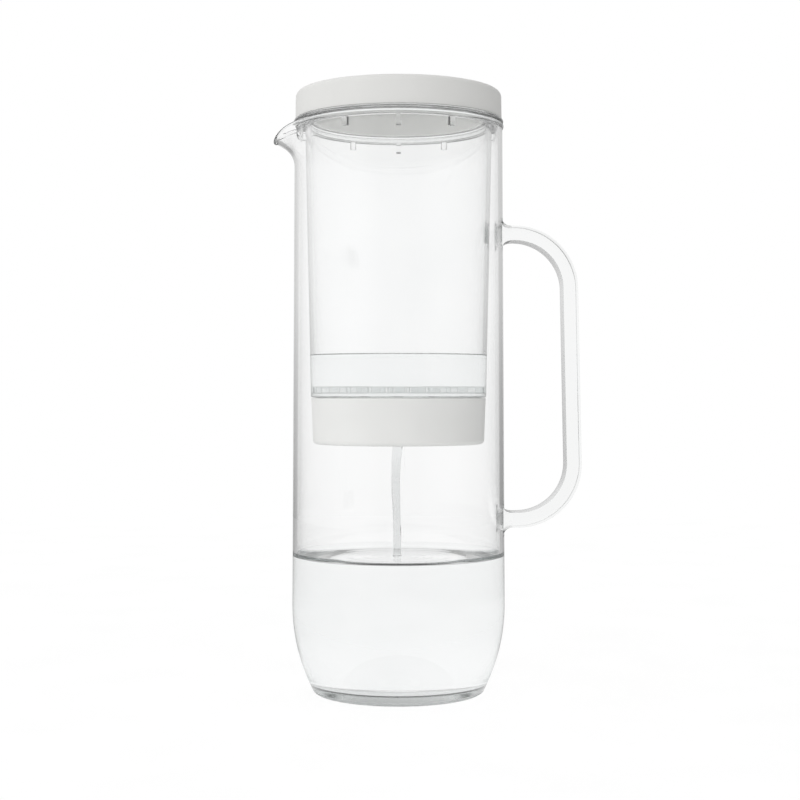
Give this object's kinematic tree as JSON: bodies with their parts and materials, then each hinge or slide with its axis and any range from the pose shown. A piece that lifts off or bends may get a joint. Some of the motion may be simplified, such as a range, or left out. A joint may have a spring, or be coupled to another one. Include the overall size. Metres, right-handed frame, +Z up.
{
  "type": "water filter pitcher",
  "caption": "Tall glass jug with a spout and strap handle, holding a lift-out clear tumbler that filters water through a twist-off cup into the jug, under a round lid.",
  "frame": {"origin": "on the jug's axis, at the plane its base stands on", "axes": "+Z up along the jug's axis, +X from the axis to the handle, -X to the spout, +Y away from the camera of the picture"},
  "size_m": [0.1472, 0.1014, 0.2866],
  "materials": {
    "glass": "clear polished",
    "clear_plastic": "clear moulded",
    "grey_plastic": "fine satin",
    "silicone": "translucent satin",
    "white_plastic": "satin",
    "felt": "fibrous",
    "carbon": "granular",
    "resin": "beaded"
  },
  "bodies": {
    "jug": {"glass_jug": "glass", "glass_handle": "glass"},
    "tumbler": {"reservoir_cup": "clear_plastic", "collar_ring": "clear_plastic", "mouth_gasket": "silicone"},
    "lid": {"lid_cap": "grey_plastic", "lid_liner": "grey_plastic", "lid_seal": "silicone"},
    "filter_disc": {"cartridge_body": "white_plastic", "cartridge_cover": "white_plastic", "inlet_pad": "felt", "carbon_bed": "carbon", "resin_bed": "resin", "outlet_pad": "felt", "cartridge_seal": "silicone"},
    "filter_housing": {"filter_cup": "grey_plastic", "filter_seal": "silicone"}
  },
  "joints": [
    {"name": "tumbler_lift", "type": "slide", "parent": "jug", "child": "tumbler", "axis": [0, 0, 1], "range_m": [0, 0.165]},
    {"name": "lid_lift", "type": "slide", "parent": "tumbler", "child": "lid", "axis": [0, 0, 1], "range_m": [0, 0.05]},
    {"name": "filter_drop", "type": "slide", "parent": "tumbler", "child": "filter_disc", "axis": [0, 0, -1], "range_m": [0, 0.0071]},
    {"name": "filter_twist", "type": "hinge", "parent": "filter_disc", "child": "filter_housing", "pos_m": [0, 0, 0.13], "axis": [0, 0, -1], "range_deg": [0, 90]}
  ],
  "couplings": [
    {"joint": "filter_drop", "follows": "filter_twist", "m_per_rad": 0.0045}
  ]
}
